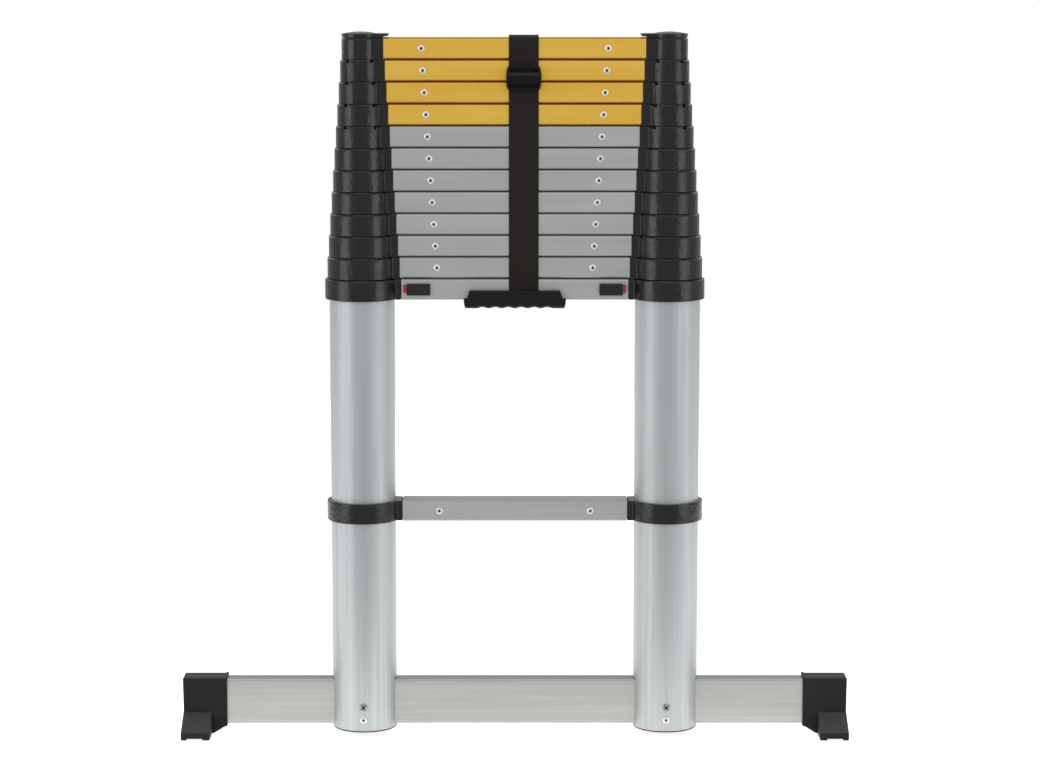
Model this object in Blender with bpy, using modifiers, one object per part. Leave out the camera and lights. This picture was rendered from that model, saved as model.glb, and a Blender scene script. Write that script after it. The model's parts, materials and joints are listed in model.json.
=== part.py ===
"""A telescoping ladder, closed for storage, as separate parts.

Metres, +Z up. The origin is on the floor, midway between the stiles and midway from front to back.
The climber stands at -Y and the left stile is at -X. Two fixed tubes stand on a stabiliser bar.
Eleven sections nest in them, each a pair of tubes with collars and a rung, and each slides up
out of the one below. Section 1 is the lowest and widest, section 11 the highest and narrowest.
"""

import math

import bmesh
import bpy

SIDES = {"left": -1, "right": 1}
ALONG_X = (math.pi / 2, 0, math.pi / 2)  # an outline in (y, z), made solid along X
ALONG_Y = (math.pi / 2, 0, 0)  # an outline in (x, z), made solid along Y
ALONG_Z = (0, 0, 0)

# Fit and roundness
GAP = 0.0003
FACETS = 24  # round a tube
SMALL_FACETS = 12  # round a bolt or a pin

# Stiles
SECTIONS = 11
GOLD_SECTIONS = 4
STILE_X = 0.1974
TUBE_WALL = 0.0014
TUBE_STEP = 0.00205  # how much smaller in radius each tube is than the one round it
BASE_TUBE_RADIUS = 0.042
BASE_TUBE_BOTTOM = 0.010
TUBE_TAIL = 0.345  # length of a sliding tube under its own collar
SECTION_TRAVEL = 0.262  # from closed to locked open
COLLAR_WALL = 0.0044
COLLAR_LIP = 0.001  # height of the collar's rim over the end of its tube
FIXED_COLLAR_RADIUS = 0.0476
STACK_PITCH = 0.028

# Rungs
RUNG_HEIGHT = 0.0272
RUNG_DEPTH = 0.038
RUNG_WALL = 0.002
RUNG_CORNER = 0.003
BASE_RUNG_Z = 0.588
MID_RUNG_Z = 0.2986
FIXED_RUNG_END = 0.051  # from the stile's axis to the end of the rung's neck
TOP_RUNG_END = 0.030
RUNG_END_STEP = 0.0019
NECK_DEPTH = 0.0370
BASE_COLLAR_TOP = 0.601
BASE_COLLAR_HEIGHT = 0.0265
MID_COLLAR_HEIGHT = 0.026

# The tongue of each collar, a hollow box inside the end of the rung
TONGUE_LENGTH = 0.060
TONGUE_WALL = 0.0025
TONGUE_ROOT = 0.002  # how far it starts inside the neck

# Stabiliser bar, its boots and the ends of the fixed tubes
BAR_BOTTOM = 0.013
BAR_HEIGHT = 0.060
BAR_DEPTH = 0.025
BAR_WALL = 0.002
BAR_END = 0.426
BOOT_INNER = 0.378
BOOT_OUTER = 0.436
BOOT_TOP = 0.0755
BOOT_DEPTH = 0.031
SOLE_INNER = 0.398
SOLE_RISE = 0.011
TOE_REACH = 0.051
TOE_TIP_HEIGHT = 0.010
TOE_ROOT_HEIGHT = 0.030
PLUG_LIP = 0.0013
PLUG_BORE = 0.006
BOLT_Z = 0.042
BOLT_RADIUS = 0.003
BOLT_HEAD_RADIUS = 0.0052
BOLT_HEAD_HEIGHT = 0.0026

# Lock of the first section, in the base rung. Distances t are from the stile's axis inwards.
PIN_RADIUS = 0.004
PIN_HOLE_RADIUS = 0.0046
PIN_HOLE_LENGTH = 0.022
LOCK_HOLE_LENGTH = 0.010
BUTTON_T = 0.0715
BUTTON_LENGTH = 0.0345
BUTTON_HEIGHT = 0.0153
BUTTON_PROUD = 0.0037
STEM_LENGTH = 0.010
STEM_HEIGHT = 0.007
LOCK_TRAVEL = 0.006
SLIDER_T = (0.060, 0.084)
SLIDER_DEPTH = 0.016
SLIDER_HEIGHT = 0.012
LOCK_WALL = 0.003  # end wall that the spring pushes against
SPRING_RADIUS = 0.005
SPRING_WIRE = 0.0012
SPRING_TURNS = 5
SPRING_POINTS = 8  # in each turn

# Strap, buckle and handle
STRAP_X = 0.0115
STRAP_WIDTH = 0.038
STRAP_THICKNESS = 0.0016
STRAP_RUN_Y = 0.0204  # from the middle of the rungs to the middle of the strap
STRAP_CREST = 0.913
STRAP_CORNER = 0.005
STRAP_JOIN_Z = 0.5896
STRAP_ENTRY_Z = 0.570
BUCKLE_WIDTH = 0.045
BUCKLE_HEIGHT = 0.033
BUCKLE_THICKNESS = 0.0045
BUCKLE_Z = 0.8585
BUCKLE_SLOT = 0.008
BUCKLE_BAR = 0.005
HANDLE_TOP = 0.587
HANDLE_BOTTOM = 0.564
HANDLE_FRONT = -0.028
HANDLE_BACK = 0.014
GRIP_HALF_LENGTHS = (0.0657, 0.0610)  # at its top and bottom edges
FLANGE_HALF_LENGTHS = (0.0580, 0.0620)
GROOVES = 6
GROOVE_PITCH = 0.017
GROOVE_DEPTH = 0.0016

# Caps on the top tubes
CAP_STEP = 0.0021  # how far the plate is above the top collar
CAP_LID = 0.0032  # thickness of the plate under the dome
CAP_REACH = 0.036  # how far the plate goes over the neck and the end of the rung
CAP_RIM = 0.0006  # plate left showing round the dome
CAP_PLUG_LENGTH = 0.010
CAP_TOP = 0.917

FINISHES = {  # colour in sRGB, roughness, metallic
    "anodised_tube": ((190, 198, 202), 0.38, 1.0),
    "silver_rung": ((160, 165, 163), 0.45, 1.0),
    "gold_rung": ((205, 166, 68), 0.40, 1.0),
    "black_plastic": ((58, 57, 56), 0.45, 0.0),
    "black_rubber": ((52, 52, 52), 0.70, 0.0),
    "webbing": ((30, 27, 25), 0.90, 0.0),
    "steel": ((180, 180, 178), 0.35, 1.0),
}


# The stack


def tube_radius(section):
    """Outer radius. Section 0 is the fixed tube."""
    return BASE_TUBE_RADIUS - TUBE_STEP * section


def collar_bottom(section):
    return BASE_COLLAR_TOP + GAP + STACK_PITCH * (section - 1)


def collar_top(section):
    return BASE_COLLAR_TOP + STACK_PITCH * section


def rung_z(section):
    return BASE_RUNG_Z + STACK_PITCH * section


def rung_end(section):
    return TOP_RUNG_END + RUNG_END_STEP * (SECTIONS - section)


# Scene and shape tools


def linear(channel):
    value = channel / 255
    return value / 12.92 if value <= 0.04045 else ((value + 0.055) / 1.055) ** 2.4


def material(name):
    colour, roughness, metallic = FINISHES[name]
    made = bpy.data.materials.new(name)
    made.use_nodes = True
    shader = made.node_tree.nodes["Principled BSDF"]
    shader.inputs["Base Color"].default_value = (*map(linear, colour), 1)
    shader.inputs["Roughness"].default_value = roughness
    shader.inputs["Metallic"].default_value = metallic
    return made


def clear_scene():
    for obj in list(bpy.data.objects):
        bpy.data.objects.remove(obj)


def collection(name):
    made = bpy.data.collections.new(name)
    bpy.context.scene.collection.children.link(made)
    return made


def body(name, position):
    """An empty that carries the pieces of one moving body."""
    empty = bpy.data.objects.new(name, None)
    empty.empty_display_size = 0.05
    empty.location = position
    ladder.objects.link(empty)
    bpy.context.view_layer.update()
    return empty


def on_body(obj, carrier):
    obj.parent = carrier
    obj.matrix_parent_inverse = carrier.matrix_world.inverted()


def part(obj, finish, carrier):
    """Makes a shape one of the ladder's parts."""
    ladder.objects.link(obj)
    obj.data.materials.append(materials[finish])
    on_body(obj, carrier)
    return obj


def helper(obj, carrier):
    """Makes a shape one that only cuts or joins others."""
    helpers.objects.link(obj)
    obj.hide_render = True
    obj.display_type = "WIRE"
    on_body(obj, carrier)
    return obj


def combine(obj, operation, *others):
    for other in others:
        modifier = obj.modifiers.new(other.name, "BOOLEAN")
        modifier.operation = operation
        modifier.object = other


def prism(name, outlines, depth, direction=ALONG_Z, centre=(0, 0, 0)):
    """A flat outline, with any holes as further outlines, made solid about its centre."""
    curve = bpy.data.curves.new(name, "CURVE")
    curve.dimensions = "2D"
    curve.fill_mode = "BOTH"
    curve.extrude = depth / 2
    for points in outlines:
        spline = curve.splines.new("POLY")
        spline.points.add(len(points) - 1)
        spline.use_cyclic_u = True
        for point, (u, v) in zip(spline.points, points):
            point.co = (u, v, 0, 1)
    return as_mesh(curve, direction, centre)


def as_mesh(curve, direction=ALONG_Z, centre=(0, 0, 0)):
    """The curve as a closed mesh object, its caps welded on."""
    guide = bpy.data.objects.new(curve.name, curve)
    bpy.context.scene.collection.objects.link(guide)
    graph = bpy.context.evaluated_depsgraph_get()
    mesh = bpy.data.meshes.new_from_object(guide.evaluated_get(graph))
    bpy.data.objects.remove(guide)
    solid = bmesh.new()
    solid.from_mesh(mesh)
    bmesh.ops.remove_doubles(solid, verts=solid.verts, dist=1e-6)
    bmesh.ops.recalc_face_normals(solid, faces=solid.faces)
    solid.to_mesh(mesh)
    solid.free()
    mesh.name = curve.name
    obj = bpy.data.objects.new(curve.name, mesh)
    obj.rotation_euler = direction
    obj.location = centre
    return obj


def turned(name, profile, centre=(0, 0, 0), direction=ALONG_Z, steps=FACETS, closed=True):
    """A profile of (radius, height) points, turned about Z. It runs down its outer side."""
    mesh = bpy.data.meshes.new(name)
    count = len(profile)
    ends = range(count if closed else count - 1)
    edges = [(i, (i + 1) % count) for i in ends]
    mesh.from_pydata([(radius, 0, height) for radius, height in profile], edges, [])
    obj = bpy.data.objects.new(name, mesh)
    screw = obj.modifiers.new("turn", "SCREW")
    screw.steps = steps
    screw.render_steps = steps
    screw.use_merge_vertices = True
    screw.merge_threshold = 1e-5
    obj.rotation_euler = direction
    obj.location = centre
    return obj


def box(name, low, high):
    mesh = bpy.data.meshes.new(name)
    solid = bmesh.new()
    bmesh.ops.create_cube(solid, size=1)
    middle = [(a + b) / 2 for a, b in zip(low, high)]
    size = [abs(b - a) for a, b in zip(low, high)]
    bmesh.ops.scale(solid, vec=size, verts=solid.verts)
    solid.to_mesh(mesh)
    solid.free()
    obj = bpy.data.objects.new(name, mesh)
    obj.location = middle
    return obj


def rod(name, radius, length, direction, centre, steps=SMALL_FACETS):
    profile = [(0, length / 2), (radius, length / 2), (radius, -length / 2), (0, -length / 2)]
    return turned(name, profile, centre, direction, steps, closed=False)


# Outlines


def circle(radius, steps=FACETS):
    turns = [2 * math.pi * i / steps for i in range(steps)]
    return [(radius * math.cos(turn), radius * math.sin(turn)) for turn in turns]


def rounded_box(width, height, corner, middle=(0, 0), steps=2):
    """A rectangle with round corners."""
    points = []
    for quarter, (u, v) in enumerate([(1, 1), (-1, 1), (-1, -1), (1, -1)]):
        centre_u = middle[0] + u * (width / 2 - corner)
        centre_v = middle[1] + v * (height / 2 - corner)
        for i in range(steps + 1):
            turn = math.pi / 2 * (quarter + i / steps)
            points.append((centre_u + corner * math.cos(turn), centre_v + corner * math.sin(turn)))
    return points


def rectangle(width, height, middle=(0, 0)):
    corners = [(1, 1), (-1, 1), (-1, -1), (1, -1)]
    return [(middle[0] + u * width / 2, middle[1] + v * height / 2) for u, v in corners]


def collar_outline(radius, reach, inward):
    """A ring's outer edge with a square neck of this reach on its inward side."""
    opening = math.asin(NECK_DEPTH / 2 / radius)
    steps = round((2 * math.pi - 2 * opening) / (2 * math.pi / FACETS))
    turns = [opening + (2 * math.pi - 2 * opening) * i / steps for i in range(steps + 1)]
    arc = [(inward * radius * math.cos(turn), radius * math.sin(turn)) for turn in turns]
    return [(inward * reach, -NECK_DEPTH / 2), (inward * reach, NECK_DEPTH / 2)] + arc


def ribbon(path, thickness):
    """The outline of a strip that follows a path."""
    outer, inner = [], []
    for i, (u, v) in enumerate(path):
        before = path[max(i - 1, 0)]
        after = path[min(i + 1, len(path) - 1)]
        along_u, along_v = after[0] - before[0], after[1] - before[1]
        length = math.hypot(along_u, along_v)
        off_u, off_v = along_v / length * thickness / 2, -along_u / length * thickness / 2
        outer.append((u + off_u, v + off_v))
        inner.append((u - off_u, v - off_v))
    return outer + inner[::-1]


def arc(centre, radius, start, end, steps=5):
    """Points on an arc, its ends in degrees."""
    turns = [math.radians(start + (end - start) * i / steps) for i in range(steps + 1)]
    return [(centre[0] + radius * math.cos(t), centre[1] + radius * math.sin(t)) for t in turns]


# Pieces of a stile


def tube_profile(radius, bottom, top):
    return [(radius, top), (radius, bottom), (radius - TUBE_WALL, bottom), (radius - TUBE_WALL, top)]


def across(side, t):
    """The x of a point this far inwards from the stile's axis."""
    return SIDES[side] * (STILE_X - t)


def tongue(name, side, reach, height_z, carrier):
    """The hollow box that a collar pushes into the end of its rung."""
    depth = RUNG_DEPTH - 2 * RUNG_WALL - 2 * GAP
    height = RUNG_HEIGHT - 2 * RUNG_WALL - 2 * GAP
    outlines = [
        rectangle(depth, height),
        rectangle(depth - 2 * TONGUE_WALL, height - 2 * TONGUE_WALL),
    ]
    length = TONGUE_LENGTH + TONGUE_ROOT
    middle = across(side, reach - TONGUE_ROOT + length / 2)
    return helper(prism(name, outlines, length, ALONG_X, (middle, 0, height_z)), carrier)


def sliding_stile(side, section, carrier):
    """One tube of a section, with its collar and the tongue for its rung."""
    radius = tube_radius(section)
    bottom, top = collar_bottom(section), collar_top(section)
    reach = rung_end(section)
    profile = tube_profile(radius, bottom - TUBE_TAIL, top - COLLAR_LIP)
    stile = turned(f"stile_{side}_{section}", profile, (across(side, 0), 0, 0))
    outlines = [
        collar_outline(radius + COLLAR_WALL, reach, -SIDES[side]),
        circle(radius - TUBE_WALL / 2),
    ]
    place = (across(side, 0), 0, (bottom + top) / 2)
    ring = helper(prism(f"collar_{side}_{section}", outlines, top - bottom, ALONG_Z, place), carrier)
    plug = tongue(f"tongue_{side}_{section}", side, reach, rung_z(section), carrier)
    combine(stile, "UNION", ring, plug)
    if section == 1:
        combine(stile, "DIFFERENCE", lock_hole(side, carrier))
    return part(stile, "anodised_tube", carrier)


def lock_hole(side, carrier):
    """The hole in section 1 that meets the base's lock pin when the section is up."""
    place = (across(side, tube_radius(1)), 0, BASE_RUNG_Z - SECTION_TRAVEL)
    hole = rod(f"lock_hole_{side}", PIN_HOLE_RADIUS, LOCK_HOLE_LENGTH, ALONG_X, place)
    return helper(hole, carrier)


def fixed_collar(name, side, bottom, top, bore_top, height_z, carrier):
    """A collar clamped round a fixed tube. Its bore ends at bore_top, under a lip."""
    hole = BASE_TUBE_RADIUS - TUBE_WALL / 2
    outlines = [
        collar_outline(FIXED_COLLAR_RADIUS, FIXED_RUNG_END, -SIDES[side]),
        circle(hole),
    ]
    place = (across(side, 0), 0, (bottom + top) / 2)
    ring = prism(name, outlines, top - bottom, ALONG_Z, place)
    bore_length = 2 * (bore_top - bottom)
    foot = (across(side, 0), 0, bottom)
    bore = rod(f"bore_{name}", BASE_TUBE_RADIUS + GAP, bore_length, ALONG_Z, foot, FACETS)
    combine(ring, "DIFFERENCE", helper(bore, carrier))
    combine(ring, "UNION", tongue(f"tongue_{name}", side, FIXED_RUNG_END, height_z, carrier))
    return part(ring, "black_plastic", carrier)


def rung(name, end, height_z, finish, carrier):
    """A hollow rung whose ends stop just short of its two necks."""
    outlines = [
        rounded_box(RUNG_DEPTH, RUNG_HEIGHT, RUNG_CORNER),
        rectangle(RUNG_DEPTH - 2 * RUNG_WALL, RUNG_HEIGHT - 2 * RUNG_WALL),
    ]
    length = 2 * (STILE_X - end - GAP)
    return part(prism(name, outlines, length, ALONG_X, (0, 0, height_z)), finish, carrier)


def sliding_section(section, carrier):
    for side in SIDES:
        sliding_stile(side, section, carrier)
    finish = "gold_rung" if section > SECTIONS - GOLD_SECTIONS else "silver_rung"
    rung(f"rung_{section}", rung_end(section), rung_z(section), finish, carrier)


# The base


def base_tube(side, carrier):
    """A fixed tube, with the slot for the bar and holes for its bolt and the lock pin."""
    top = BASE_COLLAR_TOP - COLLAR_LIP - GAP
    profile = tube_profile(BASE_TUBE_RADIUS, BASE_TUBE_BOTTOM, top)
    tube = turned(f"base_tube_{side}", profile, (across(side, 0), 0, 0))
    slot_reach = BASE_TUBE_RADIUS * 2
    slot = box(
        f"bar_slot_{side}",
        (across(side, -slot_reach), -BAR_DEPTH / 2 - GAP, BAR_BOTTOM - GAP),
        (across(side, slot_reach), BAR_DEPTH / 2 + GAP, BAR_BOTTOM + BAR_HEIGHT + GAP),
    )
    combine(tube, "DIFFERENCE", helper(slot, carrier), bolt_holes[side], pin_holes[side])
    return part(tube, "anodised_tube", carrier)


def base_collar(side, carrier):
    """The collar over the top of a fixed tube. Its tongue houses the lock."""
    bottom = BASE_COLLAR_TOP - BASE_COLLAR_HEIGHT
    bore_top = BASE_COLLAR_TOP - COLLAR_LIP
    name = f"base_collar_{side}"
    ring = fixed_collar(name, side, bottom, BASE_COLLAR_TOP, bore_top, BASE_RUNG_Z, carrier)
    tip = FIXED_RUNG_END + TONGUE_LENGTH
    inset = RUNG_WALL + GAP + TONGUE_WALL / 2
    depth = RUNG_DEPTH / 2 - inset
    height = RUNG_HEIGHT / 2 - inset
    wall = box(
        f"lock_wall_{side}",
        (across(side, tip - LOCK_WALL), -depth, BASE_RUNG_Z - height),
        (across(side, tip - GAP), depth, BASE_RUNG_Z + height),
    )
    combine(ring, "UNION", helper(wall, carrier))
    combine(ring, "DIFFERENCE", pin_holes[side], stem_slots[side])
    return ring


def mid_collar(side, carrier):
    bottom = MID_RUNG_Z - MID_COLLAR_HEIGHT / 2
    top = MID_RUNG_Z + MID_COLLAR_HEIGHT / 2
    return fixed_collar(f"mid_collar_{side}", side, bottom, top, top + GAP, MID_RUNG_Z, carrier)


def stabiliser_bar(carrier):
    """A rectangular tube that passes through both fixed tubes, drilled for their bolts."""
    middle_z = BAR_BOTTOM + BAR_HEIGHT / 2
    outlines = [
        rounded_box(BAR_DEPTH, BAR_HEIGHT, RUNG_CORNER),
        rectangle(BAR_DEPTH - 2 * BAR_WALL, BAR_HEIGHT - 2 * BAR_WALL),
    ]
    bar = prism("stabiliser_bar", outlines, 2 * BAR_END, ALONG_X, (0, 0, middle_z))
    combine(bar, "DIFFERENCE", *bolt_holes.values())
    return part(bar, "silver_rung", carrier)


def foot_boot(side, carrier):
    """A boot pushed over the end of the bar, with a toe to the front and one to the back."""
    out = SIDES[side]
    block = [
        (out * BOOT_INNER, BOOT_TOP),
        (out * BOOT_OUTER, BOOT_TOP),
        (out * BOOT_OUTER, 0),
        (out * SOLE_INNER, 0),
        (out * BOOT_INNER, SOLE_RISE),
    ]
    boot = prism(f"foot_boot_{side}", [block], BOOT_DEPTH, ALONG_Y)
    root = BOOT_DEPTH / 2 - 0.001
    toes = [
        (-TOE_REACH, 0),
        (-TOE_REACH, TOE_TIP_HEIGHT),
        (-root, TOE_ROOT_HEIGHT),
        (root, TOE_ROOT_HEIGHT),
        (TOE_REACH, TOE_TIP_HEIGHT),
        (TOE_REACH, 0),
    ]
    middle = out * (SOLE_INNER + BOOT_OUTER) / 2
    toe = prism(f"toes_{side}", [toes], BOOT_OUTER - SOLE_INNER, ALONG_X, (middle, 0, 0))
    pocket = box(
        f"boot_pocket_{side}",
        (out * (BOOT_INNER - 0.010), -BAR_DEPTH / 2 - GAP, BAR_BOTTOM - GAP),
        (out * (BAR_END + GAP), BAR_DEPTH / 2 + GAP, BAR_BOTTOM + BAR_HEIGHT + GAP),
    )
    combine(boot, "UNION", helper(toe, carrier))
    combine(boot, "DIFFERENCE", helper(pocket, carrier))
    return part(boot, "black_rubber", carrier)


def tube_end_plug(side, carrier):
    """A ring pushed into the bottom of a fixed tube, under the bar."""
    seat = BASE_TUBE_BOTTOM - GAP
    top = BAR_BOTTOM - 2 * GAP
    spigot = BASE_TUBE_RADIUS - TUBE_WALL - GAP
    profile = [
        (spigot, top),
        (spigot, seat),
        (BASE_TUBE_RADIUS, seat),
        (BASE_TUBE_RADIUS, seat - PLUG_LIP),
        (PLUG_BORE, seat - PLUG_LIP),
        (PLUG_BORE, top),
    ]
    plug = turned(f"tube_end_plug_{side}", profile, (across(side, 0), 0, 0))
    return part(plug, "black_plastic", carrier)


def bar_bolt(side, carrier):
    """A two-headed bolt along Y, through a fixed tube and the bar in it."""
    seat = BASE_TUBE_RADIUS + GAP
    head = seat + BOLT_HEAD_HEIGHT
    profile = [
        (0, head),
        (BOLT_HEAD_RADIUS * 0.7, head),
        (BOLT_HEAD_RADIUS, seat),
        (BOLT_RADIUS, seat),
        (BOLT_RADIUS, -seat),
        (BOLT_HEAD_RADIUS, -seat),
        (BOLT_HEAD_RADIUS * 0.7, -head),
        (0, -head),
    ]
    place = (across(side, 0), 0, BOLT_Z)
    bolt = turned(f"bar_bolt_{side}", profile, place, ALONG_Y, SMALL_FACETS, closed=False)
    return part(bolt, "steel", carrier)


# The lock in the base rung


def base_rung(carrier):
    slotted = rung("base_rung", FIXED_RUNG_END, BASE_RUNG_Z, "silver_rung", carrier)
    combine(slotted, "DIFFERENCE", *stem_slots.values())
    return slotted


def lock_pin(side, carrier):
    """The pin that holds section 1 up, on the slider block inside the base rung."""
    near, far = SLIDER_T
    slider = box(
        f"lock_pin_{side}",
        (across(side, near), -SLIDER_DEPTH / 2, BASE_RUNG_Z - SLIDER_HEIGHT / 2),
        (across(side, far), SLIDER_DEPTH / 2, BASE_RUNG_Z + SLIDER_HEIGHT / 2),
    )
    tip = tube_radius(1) + GAP
    root = near + 0.002
    place = (across(side, (tip + root) / 2), 0, BASE_RUNG_Z)
    shaft = rod(f"pin_shaft_{side}", PIN_RADIUS, root - tip, ALONG_X, place)
    combine(slider, "UNION", helper(shaft, carrier))
    return part(slider, "steel", carrier)


def release_button(side, carrier):
    """The button on the front of the base rung, with the stem that moves the slider."""
    face = -RUNG_DEPTH / 2 - GAP
    outline = rounded_box(BUTTON_LENGTH, BUTTON_HEIGHT, 0.0015)
    place = (across(side, BUTTON_T), face - BUTTON_PROUD / 2, BASE_RUNG_Z)
    button = prism(f"release_button_{side}", [outline], BUTTON_PROUD, ALONG_Y, place)
    stem = box(
        f"button_stem_{side}",
        (across(side, BUTTON_T - STEM_LENGTH / 2), face - 0.001, BASE_RUNG_Z - STEM_HEIGHT / 2),
        (across(side, BUTTON_T + STEM_LENGTH / 2), -SLIDER_DEPTH / 2 - GAP, BASE_RUNG_Z + STEM_HEIGHT / 2),
    )
    combine(button, "UNION", helper(stem, carrier))
    return part(button, "black_plastic", carrier)


def lock_spring(side, carrier):
    """A coil between the slider and the end wall of the tongue."""
    start = SLIDER_T[1] + GAP + SPRING_WIRE / 2
    end = FIXED_RUNG_END + TONGUE_LENGTH - LOCK_WALL - GAP - SPRING_WIRE / 2
    curve = bpy.data.curves.new(f"lock_spring_{side}", "CURVE")
    curve.dimensions = "3D"
    curve.bevel_depth = SPRING_WIRE / 2
    curve.bevel_resolution = 1
    curve.use_fill_caps = True
    spline = curve.splines.new("POLY")
    count = SPRING_TURNS * SPRING_POINTS
    spline.points.add(count)
    for i, point in enumerate(spline.points):
        turn = 2 * math.pi * i / SPRING_POINTS
        x = across(side, start + (end - start) * i / count)
        y = SPRING_RADIUS * math.cos(turn)
        z = BASE_RUNG_Z + SPRING_RADIUS * math.sin(turn)
        point.co = (x, y, z, 1)
    return part(as_mesh(curve), "steel", carrier)


def lock_cutters(carrier):
    """For each side, the hole for the pin and the slot for the button's stem."""
    pins, slots = {}, {}
    clearance = 0.0005
    for side in SIDES:
        middle = across(side, (BASE_TUBE_RADIUS + FIXED_RUNG_END) / 2)
        place = (middle, 0, BASE_RUNG_Z)
        pin = rod(f"pin_hole_{side}", PIN_HOLE_RADIUS, PIN_HOLE_LENGTH, ALONG_X, place)
        pins[side] = helper(pin, carrier)
        low = BUTTON_T - STEM_LENGTH / 2 - clearance
        high = BUTTON_T + STEM_LENGTH / 2 + LOCK_TRAVEL + clearance
        half = STEM_HEIGHT / 2 + clearance
        slot = box(
            f"stem_slot_{side}",
            (across(side, low), -RUNG_DEPTH, BASE_RUNG_Z - half),
            (across(side, high), -SLIDER_DEPTH / 2 - 0.004, BASE_RUNG_Z + half),
        )
        slots[side] = helper(slot, carrier)
    return pins, slots


def bolt_cutters(carrier):
    """For each side, the hole for the bolt."""
    holes = {}
    for side in SIDES:
        place = (across(side, 0), 0, BOLT_Z)
        hole = rod(f"bolt_hole_{side}", BOLT_RADIUS + GAP, 4 * BASE_TUBE_RADIUS, ALONG_Y, place)
        holes[side] = helper(hole, carrier)
    return holes


# Strap, buckle, handle and caps


def strap_upper(carrier):
    """The strap over the top rung: down the front to the handle, and down the back."""
    top = STRAP_CREST - STRAP_THICKNESS / 2
    shoulder = top - 0.0015
    corner_z = shoulder - STRAP_CORNER
    corner_y = STRAP_RUN_Y - STRAP_CORNER
    path = [(-STRAP_RUN_Y, HANDLE_TOP + GAP)]
    path += arc((-corner_y, corner_z), STRAP_CORNER, 180, 90)
    path += [(0, top)]
    path += arc((corner_y, corner_z), STRAP_CORNER, 90, 0)
    path += [(STRAP_RUN_Y, STRAP_JOIN_Z + GAP)]
    strap = prism("strap_upper", [ribbon(path, STRAP_THICKNESS)], STRAP_WIDTH, ALONG_X, (STRAP_X, 0, 0))
    return part(strap, "webbing", carrier)


def strap_lower(carrier):
    """The strap's way round the lower back edge of the base rung, into the handle."""
    bend_y = HANDLE_BACK + GAP
    bend = STRAP_RUN_Y - bend_y
    path = [(STRAP_RUN_Y, STRAP_JOIN_Z)]
    path += arc((bend_y, STRAP_ENTRY_Z + bend), bend, 0, -90)
    strap = prism("strap_lower", [ribbon(path, STRAP_THICKNESS)], STRAP_WIDTH, ALONG_X, (STRAP_X, 0, 0))
    return part(strap, "webbing", carrier)


def strap_buckle(carrier):
    """A three-bar slide in front of the strap."""
    slot_z = (BUCKLE_SLOT + BUCKLE_BAR) / 2
    slot_width = STRAP_WIDTH + 2 * GAP
    outlines = [
        rounded_box(BUCKLE_WIDTH, BUCKLE_HEIGHT, 0.004),
        rectangle(slot_width, BUCKLE_SLOT, (0, slot_z)),
        rectangle(slot_width, BUCKLE_SLOT, (0, -slot_z)),
    ]
    front = STRAP_RUN_Y + STRAP_THICKNESS / 2 + GAP
    place = (STRAP_X, -front - BUCKLE_THICKNESS / 2, BUCKLE_Z)
    buckle = prism("strap_buckle", outlines, BUCKLE_THICKNESS, ALONG_Y, place)
    return part(buckle, "black_plastic", carrier)


def carry_handle(carrier):
    """A grip under the base rung, with finger grooves, and a flange in front of the rung."""
    grip_top = BASE_RUNG_Z - RUNG_HEIGHT / 2 - GAP
    upper, lower = GRIP_HALF_LENGTHS
    grooved = GROOVES * GROOVE_PITCH / 2
    steps = GROOVES * 4
    edge = []
    for i in range(steps + 1):
        x = grooved * (2 * i / steps - 1)
        wave = (1 - math.cos(2 * math.pi * (x + grooved) / GROOVE_PITCH)) / 2
        edge.append((x, HANDLE_BOTTOM + GROOVE_DEPTH * wave))
    grip_outline = [(upper, grip_top), (-upper, grip_top), (-lower, HANDLE_BOTTOM)] + edge
    grip_outline.append((lower, HANDLE_BOTTOM))
    middle_y = (HANDLE_FRONT + HANDLE_BACK) / 2
    depth = HANDLE_BACK - HANDLE_FRONT
    handle = prism("carry_handle", [grip_outline], depth, ALONG_Y, (0, middle_y, 0))
    top, foot = FLANGE_HALF_LENGTHS
    root = grip_top - 0.002
    flange_outline = [(top, HANDLE_TOP), (-top, HANDLE_TOP), (-foot, root), (foot, root)]
    back = -RUNG_DEPTH / 2 - 2 * GAP
    place = (0, (HANDLE_FRONT + back) / 2, 0)
    flange = prism("handle_flange", [flange_outline], back - HANDLE_FRONT, ALONG_Y, place)
    combine(handle, "UNION", helper(flange, carrier))
    return part(handle, "black_plastic", carrier)


def top_cap(side, carrier):
    """A plate above the top collar, its neck and the rung's end, with a dome, and a plug in the tube."""
    seat = collar_top(SECTIONS) + GAP
    root = seat + CAP_STEP + CAP_LID / 2
    rim = tube_radius(SECTIONS) + COLLAR_WALL
    plug = tube_radius(SECTIONS) - TUBE_WALL - GAP
    steps = 4
    dome = [(0, CAP_TOP)]
    for i in range(1, steps + 1):
        turn = math.pi / 2 * i / steps
        dome.append(((rim - CAP_RIM) * math.sin(turn), root + (CAP_TOP - root) * math.cos(turn)))
    profile = dome + [(rim - CAP_RIM, seat), (plug, seat)]
    profile += [(plug, seat - CAP_PLUG_LENGTH), (0, seat - CAP_PLUG_LENGTH)]
    cap = turned(f"top_cap_{side}", profile, (across(side, 0), 0, 0), closed=False)
    outline = collar_outline(rim, CAP_REACH, -SIDES[side])
    plate = prism(f"cap_lid_{side}", [outline], CAP_LID, ALONG_Z, (across(side, 0), 0, root))
    combine(cap, "UNION", helper(plate, carrier))
    return part(cap, "black_plastic", carrier)


clear_scene()
ladder = collection("telescoping_ladder")
helpers = collection("cutters")
materials = {name: material(name) for name in FINISHES}

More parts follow.
